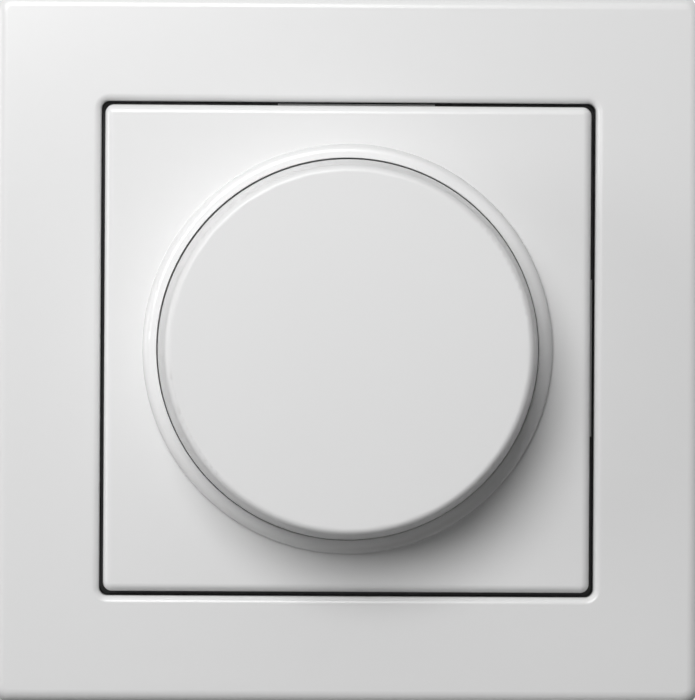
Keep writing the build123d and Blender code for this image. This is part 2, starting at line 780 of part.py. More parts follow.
with BuildPart() as claw_nut_left:
    mirror(claw_nut_right.part, about=Plane.YZ)
claw_nut_left.part.label = "claw_nut_left"
export_step(claw_nut_left.part, "parts/claw_nut_left.step")

# The claw screws are turned from the front, before the plate and the frame go on.
with BuildPart() as claw_screw_right:
    with BuildSketch(level(claw_screw_end)):
        with Locations((claw_screw_x, 0)):
            Circle(claw_screw_r)
    extrude(amount=support_thickness - claw_screw_end)
    with BuildSketch(level(support_thickness)):
        with Locations((claw_screw_x, 0)):
            Circle(claw_head_r)
    extrude(amount=claw_head_height)
    chamfer(claw_screw_right.faces().sort_by(Axis.Y)[0].edges(), claw_head_chamfer)
    with BuildSketch(level(support_thickness + claw_head_height)):
        with Locations((claw_screw_x, 0)):
            Rectangle(2 * recess_share * claw_head_r, recess_width)
            Rectangle(recess_width, 2 * recess_share * claw_head_r)
    extrude(amount=-claw_recess_depth, mode=Mode.SUBTRACT)
claw_screw_right.part.label = "claw_screw_right"
export_step(claw_screw_right.part, "parts/claw_screw_right.step")

with BuildPart() as claw_screw_left:
    mirror(claw_screw_right.part, about=Plane.YZ)
claw_screw_left.part.label = "claw_screw_left"
export_step(claw_screw_left.part, "parts/claw_screw_left.step")

# The potentiometer's can stands between the cover and the board. A block inside its wall is
# the stop that the wiper's lug meets at both ends of its turn.
with BuildPart() as pot_housing:
    with BuildSketch(level(pot_back)):
        Circle(pot_r)
    extrude(amount=pot_depth)
    with BuildSketch(level(pot_floor)):
        Circle(pot_r - pot_wall)
    extrude(amount=pot_depth, mode=Mode.SUBTRACT)
    with BuildSketch(level(pot_floor)):
        stop_outer_r = pot_r - pot_wall / 2
        stop_inner_r = pot_r - pot_wall - pot_stop_depth
        ring_sector(stop_inner_r, stop_outer_r, -quarter_turn - pot_stop_half_angle, 2 * pot_stop_half_angle)
    extrude(amount=rotor_front - pot_floor)
    with BuildSketch(level(pot_back)):
        Circle(board_hole_r)
        with Locations(*pot_pin_places):
            Circle(lead_hole_r)
    extrude(amount=pot_wall, mode=Mode.SUBTRACT)
pot_housing.part.label = "pot_housing"
export_step(pot_housing.part, "parts/pot_housing.step")

with BuildPart() as resistor_track:
    with BuildSketch(level(pot_floor)):
        ring_sector(track_inner_r, track_outer_r, -quarter_turn + (full_turn - track_span) / 2, track_span)
    extrude(amount=track_thickness)
resistor_track.part.label = "resistor_track"
export_step(resistor_track.part, "parts/resistor_track.step")

# The wiper's rotor is keyed on the shaft's two flats, which slide through it.
with BuildPart() as wiper_rotor:
    with BuildSketch(level(rotor_front)):
        Circle(rotor_r)
        lug_start = rotor_lug_angle - rotor_lug_half_angle
        ring_sector(rotor_hub_r, rotor_lug_r, lug_start, 2 * rotor_lug_half_angle)
    extrude(amount=-rotor_thickness)
    with BuildSketch(level(rotor_front)):
        Circle(rotor_hub_r)
    extrude(amount=pot_floor + rotor_floor_gap - rotor_front)
    with BuildSketch(level(rotor_front)):
        Circle(shaft_r + rotor_bore_play)
        Rectangle(3 * shaft_r, 2 * (shaft_key_flat + rotor_key_play), mode=Mode.INTERSECT)
    extrude(amount=-pot_depth, mode=Mode.SUBTRACT)
wiper_rotor.part.label = "wiper_rotor"
export_step(wiper_rotor.part, "parts/wiper_rotor.step")

with BuildPart() as wiper_contact:
    wiper_back = rotor_front - rotor_thickness
    with BuildSketch(level(wiper_back)):
        ring_sector(track_inner_r, rotor_r, 0, wiper_span)
    extrude(amount=-wiper_thickness)
    with BuildSketch(level(wiper_back)):
        with Locations(((track_inner_r + track_outer_r) / 2, wiper_finger_width / 2)):
            Rectangle(wiper_finger_width, wiper_finger_width)
    extrude(amount=pot_floor + track_thickness + wiper_gap - wiper_back)
wiper_contact.part.label = "wiper_contact"
export_step(wiper_contact.part, "parts/wiper_contact.step")

with BuildPart() as pot_terminals:
    with BuildSketch(level(board_back + pot_pin_inset)):
        with Locations(*pot_pin_places):
            Circle(lead_r)
    extrude(amount=pot_floor + track_thickness - board_back - pot_pin_inset)
pot_terminals.part.label = "pot_terminals"
export_step(pot_terminals.part, "parts/pot_terminals.step")

# The board rests on the steps of the housing's bosses and is drilled for every lead.
with BuildPart() as circuit_board:
    with BuildSketch(level(board_back)):
        housing_outline(housing_wall + board_play)
        with Locations(*boss_places):
            Circle(boss_r + boss_notch_play, mode=Mode.SUBTRACT)
        Circle(board_hole_r, mode=Mode.SUBTRACT)
        with Locations(
            *pot_pin_places,
            *triac_lead_places,
            *big_capacitor_pins,
            *small_capacitor_pins,
            *axial_pins,
        ):
            Circle(lead_hole_r, mode=Mode.SUBTRACT)
    extrude(amount=board_thickness)
circuit_board.part.label = "circuit_board"
export_step(circuit_board.part, "parts/circuit_board.step")

# The push switch hangs behind the board, in line with the shaft.
with BuildPart() as switch_body:
    with BuildSketch(level(switch_back)):
        Rectangle(switch_size, switch_size)
    extrude(amount=switch_depth)
    with BuildSketch(level(switch_cavity_floor)):
        Rectangle(switch_size - 2 * switch_wall, switch_size - 2 * switch_wall)
    extrude(amount=switch_depth - switch_floor - switch_front, mode=Mode.SUBTRACT)
    with BuildSketch(level(board_back)):
        Circle(slider_r + slider_play)
        with GridLocations(switch_size - 2 * switch_wall - terminal_strip, 0, 2, 1):
            Rectangle(terminal_strip, terminal_strip_width)
    extrude(amount=-switch_front, mode=Mode.SUBTRACT)
switch_body.part.label = "switch_body"
export_step(switch_body.part, "parts/switch_body.step")

with BuildPart() as switch_slider:
    with BuildSketch(turning_plane):
        turned(
            [
                (0, shaft_end),
                (slider_r, shaft_end),
                (slider_r, slider_flange_front),
                (slider_flange_r, slider_flange_front),
                (slider_flange_r, slider_flange_back),
                (slider_pin_r, slider_flange_back),
                (slider_pin_r, slider_end),
                (0, slider_end),
            ]
        )
    revolve(axis=Axis.Y)
switch_slider.part.label = "switch_slider"
export_step(switch_slider.part, "parts/switch_slider.step")

with BuildPart() as switch_contact:
    with BuildSketch(level(slider_flange_back)):
        Rectangle(2 * (strip_inner - contact_side_gap), contact_width)
        Circle(slider_pin_r, mode=Mode.SUBTRACT)
    extrude(amount=-contact_thickness)
switch_contact.part.label = "switch_contact"
export_step(switch_contact.part, "parts/switch_contact.step")

# Two fixed contacts: a strip down the cavity's side, with a foot that the bridge lands on.
with BuildPart() as switch_terminals:
    strip_middle = strip_inner + terminal_strip / 2
    foot_front = slider_flange_back - contact_thickness - push_travel - contact_gap
    with BuildSketch(level(foot_front)):
        with GridLocations(2 * strip_middle, 0, 2, 1):
            Rectangle(terminal_strip, terminal_strip_width)
    extrude(amount=board_back - foot_front)
    with BuildSketch(level(foot_front)):
        foot_middle = strip_middle + terminal_strip / 2 - terminal_foot / 2
        with GridLocations(2 * foot_middle, 0, 2, 1):
            Rectangle(terminal_foot, terminal_strip_width)
    extrude(amount=-terminal_strip)
switch_terminals.part.label = "switch_terminals"
export_step(switch_terminals.part, "parts/switch_terminals.step")

# A coil spring lifts the slider, the shaft and the knob again.
with BuildPart() as return_spring:
    spring_length = slider_flange_back - contact_thickness - switch_cavity_floor - spring_room
    spring_start = switch_cavity_floor + spring_room / 2
    coil = Helix(
        pitch=spring_length / spring_turns,
        height=spring_length,
        radius=spring_mean_r,
        center=(0, -spring_start, 0),
        direction=(0, -1, 0),
        mode=Mode.PRIVATE,
    )
    with BuildSketch(Plane(origin=coil @ 0, x_dir=(1, 0, 0), z_dir=coil % 0)):
        Rectangle(spring_wire, spring_wire)
    sweep(path=coil, is_frenet=True)
return_spring.part.label = "return_spring"
export_step(return_spring.part, "parts/return_spring.step")

# The triac lies on a thermal pad against the support frame, which carries off its heat.
with BuildPart() as thermal_pad:
    with BuildSketch(level(0)):
        with Locations((triac_x, triac_z)):
            Rectangle(triac_body_length + triac_tab_length, triac_width)
        with Locations((triac_hole_x, triac_z)):
            Circle(triac_hole_r, mode=Mode.SUBTRACT)
    extrude(amount=-thermal_pad_thickness)
thermal_pad.part.label = "thermal_pad"
export_step(thermal_pad.part, "parts/thermal_pad.step")

with BuildPart() as triac:
    with BuildSketch(level(-thermal_pad_thickness)):
        with Locations((triac_x, triac_z)):
            Rectangle(triac_body_length + triac_tab_length, triac_width)
        with Locations((triac_hole_x, triac_z)):
            Circle(triac_hole_r, mode=Mode.SUBTRACT)
    extrude(amount=-triac_tab_thickness)
    with BuildSketch(level(-thermal_pad_thickness)):
        with Locations((triac_left, triac_z)):
            Rectangle(triac_body_length, triac_width, align=(Align.MIN, Align.CENTER))
    extrude(amount=-triac_thickness)
    with BuildSketch(level((triac_back - thermal_pad_thickness) / 2 + lead_r)):
        with Locations(*triac_lead_places):
            Rectangle(
                triac_lead_reach + lead_r + triac_body_length / 2,
                2 * lead_r,
                align=(Align.MIN, Align.CENTER),
            )
    extrude(amount=-2 * lead_r)
    with BuildSketch(level((triac_back - thermal_pad_thickness) / 2 + lead_r)):
        with Locations(*triac_lead_places):
            Circle(lead_r)
    extrude(amount=board_back - lead_stub - (triac_back - thermal_pad_thickness) / 2 - lead_r)
triac.part.label = "triac"
export_step(triac.part, "parts/triac.step")

with BuildPart() as triac_screw:
    triac_nut_front = -thermal_pad_thickness - triac_tab_thickness
    triac_screw_end = triac_nut_front - triac_nut_thickness - triac_screw_tail
    with BuildSketch(level(support_thickness)):
        with Locations((triac_hole_x, triac_z)):
            Circle(triac_screw_head_r)
    extrude(amount=triac_screw_head_height)
    with BuildSketch(level(triac_screw_end)):
        with Locations((triac_hole_x, triac_z)):
            Circle(triac_screw_r)
    extrude(amount=support_thickness - triac_screw_end)
    with BuildSketch(level(support_thickness + triac_screw_head_height)):
        with Locations((triac_hole_x, triac_z)):
            Rectangle(2 * recess_share * triac_screw_head_r, recess_width)
            Rectangle(recess_width, 2 * recess_share * triac_screw_head_r)
    extrude(amount=-recess_depth, mode=Mode.SUBTRACT)
triac_screw.part.label = "triac_screw"
export_step(triac_screw.part, "parts/triac_screw.step")

with BuildPart() as triac_nut:
    with BuildSketch(level(triac_nut_front)):
        with Locations((triac_hole_x, triac_z)):
            RegularPolygon(triac_nut_across_flats / 2, 6, major_radius=False, rotation=full_turn / 12)
            Circle(triac_screw_r + thread_play, mode=Mode.SUBTRACT)
    extrude(amount=-triac_nut_thickness)
triac_nut.part.label = "triac_nut"
export_step(triac_nut.part, "parts/triac_nut.step")

# The choke is a ferrite ring under one layer of wire, which stops short of a full turn.
choke_middle = board_back - choke_lift - choke_height / 2
choke_cover = choke_wire + choke_play
with BuildPart() as choke_core:
    with BuildSketch(level(choke_middle - choke_height / 2 + choke_cover)):
        with Locations((choke_x, choke_z)):
            Circle(choke_outer_r - choke_cover)
            Circle(choke_inner_r + choke_cover, mode=Mode.SUBTRACT)
    extrude(amount=choke_height - 2 * choke_cover)
choke_core.part.label = "choke_core"
export_step(choke_core.part, "parts/choke_core.step")

with BuildPart() as choke_winding:
    with BuildSketch(Plane(origin=(choke_x, 0, choke_z), x_dir=(1, 0, 0), z_dir=(0, 0, -1))):
        with Locations(((choke_inner_r + choke_outer_r) / 2, choke_middle)):
            Rectangle(choke_outer_r - choke_inner_r, choke_height)
            Rectangle(
                choke_outer_r - choke_inner_r - 2 * choke_wire,
                choke_height - 2 * choke_wire,
                mode=Mode.SUBTRACT,
            )
    revolve(axis=Axis((choke_x, 0, choke_z), (0, 1, 0)), revolution_arc=choke_span)
choke_winding.part.label = "choke_winding"
export_step(choke_winding.part, "parts/choke_winding.step")

with BuildPart() as suppression_capacitor:
    with BuildSketch(level(board_back)):
        with Locations((big_capacitor_x, big_capacitor_z)):
            Rectangle(big_capacitor_length, big_capacitor_width)
    extrude(amount=-big_capacitor_height)
    chamfer(suppression_capacitor.edges(), capacitor_chamfer)
    with BuildSketch(level(board_front + lead_stub)):
        with Locations(*big_capacitor_pins):
            Circle(lead_r)
    extrude(amount=board_back - board_front - lead_stub - big_capacitor_height / 2)
suppression_capacitor.part.label = "suppression_capacitor"
export_step(suppression_capacitor.part, "parts/suppression_capacitor.step")

with BuildPart() as timing_capacitor:
    with BuildSketch(level(board_front)):
        with Locations((small_capacitor_x, small_capacitor_z)):
            Rectangle(small_capacitor_length, small_capacitor_width)
    extrude(amount=small_capacitor_height)
    chamfer(timing_capacitor.edges(), capacitor_chamfer)
    with BuildSketch(level(board_back - lead_stub)):
        with Locations(*small_capacitor_pins):
            Circle(lead_r)
    extrude(amount=board_thickness + lead_stub + small_capacitor_height / 2)
timing_capacitor.part.label = "timing_capacitor"
export_step(timing_capacitor.part, "parts/timing_capacitor.step")

# Resistors and the diac lie on the board, each with a bent lead at both ends.
axial_parts = [(f"resistor_{i + 1}", x, resistor_r, resistor_length) for i, x in enumerate(resistor_x)]
axial_parts.append(("diac", diac_x, diac_r, diac_length))
for axial_name, x, radius, length in axial_parts:
    axis_level = board_front + radius
    with BuildPart() as axial_part:
        with BuildSketch(Plane.XY):
            with Locations((x, -axis_level)):
                Circle(radius)
        extrude(amount=length / 2, both=True)
        chamfer(axial_part.edges(), axial_chamfer)
        with BuildLine() as lead:
            FilletPolyline(
                (x, lead_stub - board_back, -resistor_reach),
                (x, -axis_level, -resistor_reach),
                (x, -axis_level, resistor_reach),
                (x, lead_stub - board_back, resistor_reach),
                radius=2 * lead_r,
            )
        with BuildSketch(Plane(origin=lead.line @ 0, z_dir=lead.line % 0)):
            Circle(lead_r)
        sweep(path=lead.line)
    axial_part.part.label = axial_name
    export_step(axial_part.part, f"parts/{axial_name}.step")

# The fuse is a glass tube with metal caps, held by two spring clips on the board.
with BuildPart() as fuse:
    fuse_plane = Plane(origin=(0, -fuse_level, fuse_z), x_dir=(0, 1, 0), z_dir=(1, 0, 0))
    with BuildSketch(fuse_plane):
        Circle(fuse_r)
    extrude(amount=fuse_length / 2, both=True)
    for side in (-1, 1):
        with BuildSketch(fuse_plane.offset(side * fuse_length / 2)):
            Circle(fuse_cap_r)
        extrude(amount=-side * fuse_cap_length)
fuse.part.label = "fuse"
export_step(fuse.part, "parts/fuse.step")

for number, side in enumerate((-1, 1), start=1):
    with BuildPart() as fuse_clip:
        with BuildSketch(fuse_plane.offset(side * (fuse_length - fuse_cap_length) / 2)):
            ring_sector(
                fuse_cap_r,
                fuse_cap_r + fuse_clip_thickness,
                2 * quarter_turn + fuse_clip_opening / 2,
                full_turn - fuse_clip_opening,
            )
            with Locations((fuse_cap_r + fuse_clip_thickness / 2, 0)):
                Rectangle(
                    fuse_lift - fuse_clip_thickness / 2,
                    fuse_cap_r,
                    align=(Align.MIN, Align.CENTER),
                )
        extrude(amount=fuse_clip_width / 2, both=True)
    fuse_clip.part.label = f"fuse_clip_{number}"
    export_step(fuse_clip.part, f"parts/fuse_clip_{number}.step")

# Three brass blocks on the housing's floor clamp the wires that come in from behind.
for number, (x, z) in enumerate(terminal_places, start=1):
    with BuildPart() as terminal_clamp:
        with BuildSketch(level(floor_level)):
            with Locations((x, z)):
                Rectangle(terminal_size, terminal_size)
        extrude(amount=terminal_height)
        chamfer(terminal_clamp.edges().filter_by(Axis.Y), terminal_corner)
        with BuildSketch(level(terminal_front)):
            with Locations((x, z + terminal_size / 2 - terminal_tail_thickness)):
                Rectangle(terminal_tail_width, terminal_tail_thickness)
        extrude(amount=board_back - terminal_front)
        with BuildSketch(level(floor_level)):
            with Locations((x, z)):
                Circle(terminal_bore_r)
        extrude(amount=terminal_bore_depth, mode=Mode.SUBTRACT)
        with BuildSketch(Plane.XY.offset(z)):
            with Locations((x, -terminal_screw_level)):
                Circle(terminal_screw_r + thread_play)
        extrude(amount=-terminal_size, mode=Mode.SUBTRACT)
    terminal_clamp.part.label = f"terminal_clamp_{number}"
    export_step(terminal_clamp.part, f"parts/terminal_clamp_{number}.step")

with BuildPart() as terminal_screws:
    terminal_head_z = terminal_z - terminal_size / 2 - terminal_head_gap
    with BuildSketch(Plane.XY.offset(terminal_head_z)):
        for x, _ in terminal_places:
            with Locations((x, -terminal_screw_level)):
                Circle(terminal_head_r)
    extrude(amount=-terminal_head_height)
    with BuildSketch(Plane.XY.offset(terminal_head_z)):
        for x, _ in terminal_places:
            with Locations((x, -terminal_screw_level)):
                Circle(terminal_screw_r)
    extrude(amount=terminal_size / 2 + terminal_head_gap - terminal_bore_r)
    with BuildSketch(Plane.XY.offset(terminal_head_z - terminal_head_height)):
        for x, _ in terminal_places:
            with Locations((x, -terminal_screw_level)):
                Rectangle(2 * terminal_head_r, recess_width)
    extrude(amount=recess_depth, mode=Mode.SUBTRACT)
terminal_screws.part.label = "terminal_screws"
export_step(terminal_screws.part, "parts/terminal_screws.step")
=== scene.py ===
import json
from math import cos, pi, radians, sin

import bmesh
import bpy
import numpy as np
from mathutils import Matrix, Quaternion, Vector

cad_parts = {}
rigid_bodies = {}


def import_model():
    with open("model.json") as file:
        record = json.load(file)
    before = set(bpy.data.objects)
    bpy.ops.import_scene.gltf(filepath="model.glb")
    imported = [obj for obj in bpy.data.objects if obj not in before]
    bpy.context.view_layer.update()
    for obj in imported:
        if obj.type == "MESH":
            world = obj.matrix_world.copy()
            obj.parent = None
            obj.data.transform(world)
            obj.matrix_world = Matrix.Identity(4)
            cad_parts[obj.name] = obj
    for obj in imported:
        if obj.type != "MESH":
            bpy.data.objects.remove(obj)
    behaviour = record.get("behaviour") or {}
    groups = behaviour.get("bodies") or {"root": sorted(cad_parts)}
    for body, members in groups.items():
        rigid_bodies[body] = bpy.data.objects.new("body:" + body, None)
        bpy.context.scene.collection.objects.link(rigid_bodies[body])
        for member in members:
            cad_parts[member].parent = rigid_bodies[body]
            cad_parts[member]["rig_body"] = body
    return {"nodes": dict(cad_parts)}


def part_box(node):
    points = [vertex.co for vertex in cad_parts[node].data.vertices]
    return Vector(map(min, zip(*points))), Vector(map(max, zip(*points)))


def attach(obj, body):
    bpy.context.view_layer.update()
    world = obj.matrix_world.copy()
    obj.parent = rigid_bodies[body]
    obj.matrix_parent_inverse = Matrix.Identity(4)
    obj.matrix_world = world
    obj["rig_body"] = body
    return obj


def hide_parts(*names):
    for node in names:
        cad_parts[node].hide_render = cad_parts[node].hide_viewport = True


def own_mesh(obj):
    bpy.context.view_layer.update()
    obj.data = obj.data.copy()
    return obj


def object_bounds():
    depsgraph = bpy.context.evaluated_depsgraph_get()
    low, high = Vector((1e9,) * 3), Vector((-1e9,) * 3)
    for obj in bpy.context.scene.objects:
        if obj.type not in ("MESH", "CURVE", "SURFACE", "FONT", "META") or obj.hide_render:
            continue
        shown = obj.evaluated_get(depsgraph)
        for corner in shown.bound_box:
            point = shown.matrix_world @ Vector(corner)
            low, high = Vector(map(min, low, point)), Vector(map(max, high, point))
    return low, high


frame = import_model()
nodes = frame["nodes"]
cad_bounds = [list(corner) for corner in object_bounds()]

# The housing is a cup moulded in pale grey plastic that sits in the wall box. Every edge that
# the mould leaves is a little soft, and its skin has a fine spark-eroded grain.
housing_colour = (0.52, 0.52, 0.50)
housing_edge = 0.00018
sharp_angle = radians(32)


def start_material(name, colour, roughness, metallic=0.0):
    """A new material with its plain values set on the shader's own sockets."""
    material = bpy.data.materials.new(name)
    material.use_nodes = True
    shader = material.node_tree.nodes["Principled BSDF"]
    shader.inputs["Base Color"].default_value = (*colour, 1.0)
    shader.inputs["Roughness"].default_value = roughness
    shader.inputs["Metallic"].default_value = metallic
    return material, material.node_tree, shader


def add_noise(tree, scale, detail, stretch=(1.0, 1.0, 1.0)):
    """A noise over the piece's own place, drawn out along an axis where stretch is under 1."""
    place = tree.nodes.new("ShaderNodeTexCoord")
    mapping = tree.nodes.new("ShaderNodeMapping")
    mapping.inputs["Scale"].default_value = stretch
    noise = tree.nodes.new("ShaderNodeTexNoise")
    noise.inputs["Scale"].default_value = scale
    noise.inputs["Detail"].default_value = detail
    tree.links.new(place.outputs["Object"], mapping.inputs["Vector"])
    tree.links.new(mapping.outputs["Vector"], noise.inputs["Vector"])
    return noise.outputs["Fac"]


def drift(tree, source, low, high, socket):
    """Turn a noise of about 0.3 to 0.7 into a value between low and high on a socket."""
    span = tree.nodes.new("ShaderNodeMapRange")
    span.inputs["From Min"].default_value = 0.3
    span.inputs["From Max"].default_value = 0.7
    span.inputs["To Min"].default_value = low
    span.inputs["To Max"].default_value = high
    tree.links.new(source, span.inputs["Value"])
    tree.links.new(span.outputs["Result"], socket)


def tint(tree, source, colour, change, socket):
    """Drift a colour by a share of itself, from darker to lighter, along a noise."""
    ramp = tree.nodes.new("ShaderNodeValToRGB")
    ramp.color_ramp.elements[0].position = 0.3
    ramp.color_ramp.elements[1].position = 0.7
    ramp.color_ramp.elements[0].color = (*[c * (1 - change) for c in colour], 1.0)
    ramp.color_ramp.elements[1].color = (*[min(c * (1 + change), 1.0) for c in colour], 1.0)
    tree.links.new(source, ramp.inputs["Fac"])
    tree.links.new(ramp.outputs["Color"], socket)


def raise_grain(tree, source, depth, shader):
    """Let a noise raise the surface by up to this many metres."""
    bump = tree.nodes.new("ShaderNodeBump")
    bump.inputs["Strength"].default_value = 1.0
    bump.inputs["Distance"].default_value = depth
    tree.links.new(source, bump.inputs["Height"])
    tree.links.new(bump.outputs["Normal"], shader.inputs["Normal"])


def mould(name, colour, roughness, grain, depth, change):
    """Moulded plastic: a colour that drifts a little, and the fine skin that a mould leaves."""
    material, tree, shader = start_material(name, colour, roughness)
    tint(tree, add_noise(tree, 45.0, 2.0), colour, change, shader.inputs["Base Color"])
    skin = add_noise(tree, grain, 3.0)
    drift(tree, skin, roughness * 0.9, roughness * 1.1, shader.inputs["Roughness"])
    raise_grain(tree, skin, depth, shader)
    return material


def finish_as(name, material):
    """Give a carried-over piece its finish in place of the frame's plain one."""
    mesh = nodes[name].data
    mesh.materials.clear()
    mesh.materials.append(material)


def set_up(piece, name):
    """Let a new piece stand for a carried-over one and move with its body."""
    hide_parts(name)
    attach(piece, nodes[name]["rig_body"])


def merged(name):
    """A copy of a carried-over mesh with its triangles joined into whole flat faces."""
    form = bmesh.new()
    form.from_mesh(nodes[name].data)
    bmesh.ops.remove_doubles(form, verts=form.verts, dist=2e-6)
    bmesh.ops.dissolve_limit(
        form, angle_limit=radians(0.6), verts=form.verts, edges=form.edges
    )
    return form


def add_piece(mesh):
    """A new piece named like its mesh."""
    piece = bpy.data.objects.new(mesh.name, mesh)
    bpy.context.scene.collection.objects.link(piece)
    return piece


def piece_of(form, name, material):
    """A new piece of a worked form, smooth, in one material and without the old normals."""
    mesh = bpy.data.meshes.new(name)
    form.to_mesh(mesh)
    form.free()
    if "custom_normal" in mesh.attributes:
        mesh.attributes.remove(mesh.attributes["custom_normal"])
    mesh.materials.clear()
    mesh.materials.append(material)
    mesh.shade_smooth()
    return add_piece(mesh)


def round_edges(piece, width):
    """Turn each edge sharper than sharp_angle into a band of this width, in two steps."""
    edges = piece.modifiers.new("edges", "BEVEL")
    edges.width = width
    edges.segments = 2
    edges.limit_method = "ANGLE"
    edges.angle_limit = sharp_angle
    edges.harden_normals = True


def soften(name, material, width):
    """Stand a copy with rounded edges in for a solid."""
    piece = piece_of(merged(name), f"{name}_soft", material)
    round_edges(piece, width)
    set_up(piece, name)


housing_grey = mould("housing_plastic", housing_colour, 0.45, 4000.0, 6e-6, 0.03)
soften("housing_base", housing_grey, housing_edge)

# Three brass blocks clamp the wires. They are cut from drawn bar, drilled and tumbled, and a
# slotted steel screw enters each from below.
brass_colour = (0.70, 0.50, 0.22)
block_edge = 0.00012


def make_brass():
    """Plain brass with fine drawing marks and a little dulling."""
    material, tree, shader = start_material("drawn_brass", brass_colour, 0.28, 1.0)
    cloud = add_noise(tree, 260.0, 3.0)
    tint(tree, cloud, brass_colour, 0.12, shader.inputs["Base Color"])
    drift(tree, cloud, 0.22, 0.38, shader.inputs["Roughness"])
    raise_grain(tree, add_noise(tree, 2500.0, 2.0, (0.1, 1.0, 0.1)), 3e-6, shader)
    return material


brass = make_brass()
for name in ("terminal_clamp_1", "terminal_clamp_2", "terminal_clamp_3"):
    soften(name, brass, block_edge)

zinc_colour = (0.62, 0.63, 0.62)
zinc_roughness = 0.34
screw_edge = 0.00008


def make_zinc(name, colour, stretch):
    """Zinc plate: a cool metal with cloudy gloss and a faint grain along the steel below it."""
    material, tree, shader = start_material(name, colour, zinc_roughness, 1.0)
    cloud = add_noise(tree, 160.0, 4.0)
    tint(tree, cloud, colour, 0.10, shader.inputs["Base Color"])
    drift(tree, cloud, zinc_roughness - 0.08, zinc_roughness + 0.10, shader.inputs["Roughness"])
    raise_grain(tree, add_noise(tree, 900.0, 2.0, stretch), 4e-6, shader)
    return material


screw_zinc = make_zinc("screw_zinc", zinc_colour, (1.0, 1.0, 1.0))
soften("terminal_screws", screw_zinc, screw_edge)

# The push switch hangs behind the board: a moulded case, a slider with a bronze bridge, two
# bent contact strips, and a coil spring of round steel wire that lifts it all again.
spring_turns = 5.0
spring_flat = 0.4        # turns that lie flat at each end
spring_wire = 0.00024
bronze_colour = (0.66, 0.40, 0.22)
dark_colour = (0.05, 0.05, 0.055)
steel_colour = (0.30, 0.30, 0.31)
case_edge = 0.00015
strip_edge = 0.00004
steps_per_turn = 32


def make_metal(name, colour, roughness, stretch):
    """Bare sheet or wire: one metal colour, with faint lines along the way it was drawn."""
    material, tree, shader = start_material(name, colour, roughness, 1.0)
    lines = add_noise(tree, 1800.0, 3.0, stretch)
    tint(tree, lines, colour, 0.08, shader.inputs["Base Color"])
    drift(tree, lines, roughness * 0.85, roughness * 1.2, shader.inputs["Roughness"])
    raise_grain(tree, lines, 2e-6, shader)
    return material


def close_rings(name, rings, start, end, material):
    """A closed tube of rings of points: each point joins the next one round and the same two
    on the next ring, and the first and last ring join a middle point each."""
    rows, sides = rings.shape[:2]
    i, j = np.meshgrid(np.arange(rows - 1), np.arange(sides), indexing="ij")
    k = (j + 1) % sides
    walls = np.stack([i * sides + j, i * sides + k, (i + 1) * sides + k, (i + 1) * sides + j], -1)
    last = (rows - 1) * sides
    start_fan = np.stack([np.full(sides, rows * sides), k[0], j[0]], -1)
    end_fan = np.stack([np.full(sides, rows * sides + 1), last + j[0], last + k[0]], -1)
    places = np.vstack([rings.reshape(-1, 3), start, end])
    faces = walls.reshape(-1, 4).tolist() + start_fan.tolist() + end_fan.tolist()
    mesh = bpy.data.meshes.new(name)
    mesh.from_pydata(places.tolist(), [], faces)
    form = bmesh.new()
    form.from_mesh(mesh)
    bmesh.ops.recalc_face_normals(form, faces=form.faces)
    form.to_mesh(mesh)
    form.free()
    mesh.materials.append(material)
    mesh.shade_smooth()
    return add_piece(mesh)


def wire_along(name, path, radius, material, sides=12):
    """A round wire along a path of points.

    At each point the path's direction is the difference of its neighbours. A first side is
    square to that and to a fixed axis, a second is square to both, and each ring is centre +
    radius x (cos a x first + sin a x second).
    """
    path = np.asarray(path, float)
    heading = np.gradient(path, axis=0)
    heading /= np.linalg.norm(heading, axis=1)[:, None]
    first = np.cross(heading, (0.13, 0.97, 0.21))
    first /= np.linalg.norm(first, axis=1)[:, None]
    second = np.cross(heading, first)
    a = np.linspace(0, 2 * pi, sides, endpoint=False)
    rings = (
        path[:, None, :]
        + radius * np.cos(a)[None, :, None] * first[:, None, :]
        + radius * np.sin(a)[None, :, None] * second[:, None, :]
    )
    return close_rings(name, rings, path[0], path[-1], material)


spring_steel = make_metal("spring_steel", steel_colour, 0.30, (1.0, 1.0, 1.0))
dark_board = mould("dark_moulding", dark_colour, 0.5, 3000.0, 6e-6, 0.1)
bronze = make_metal("contact_bronze", bronze_colour, 0.30, (0.1, 1.0, 1.0))
soften("switch_body", housing_grey, case_edge)
finish_as("switch_slider", dark_board)
for name in ("switch_contact", "switch_terminals"):
    soften(name, bronze, strip_edge)

low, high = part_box("return_spring")
spring_radius = (high.x - low.x) / 2 - spring_wire
turn = np.linspace(0, spring_turns, int(spring_turns * steps_per_turn) + 1)
climb = np.clip((turn - spring_flat) / (spring_turns - 2 * spring_flat), 0, 1)
spring_path = np.stack(
    [
        spring_radius * np.cos(2 * pi * turn),
        high.y - spring_wire - climb * (high.y - low.y - 2 * spring_wire),
        spring_radius * np.sin(2 * pi * turn),
    ],
    -1,
)
coil = wire_along("return_spring_coil", spring_path, spring_wire, spring_steel)
set_up(coil, "return_spring")
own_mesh(coil)

# The circuit board is glass-fibre laminate under green lacquer. The weave shows through as
# fine squares, and the drilled holes have bright rims of tin.
board_colour = (0.025, 0.16, 0.07)
weave_pitch = 0.0006
board_edge = 0.0001


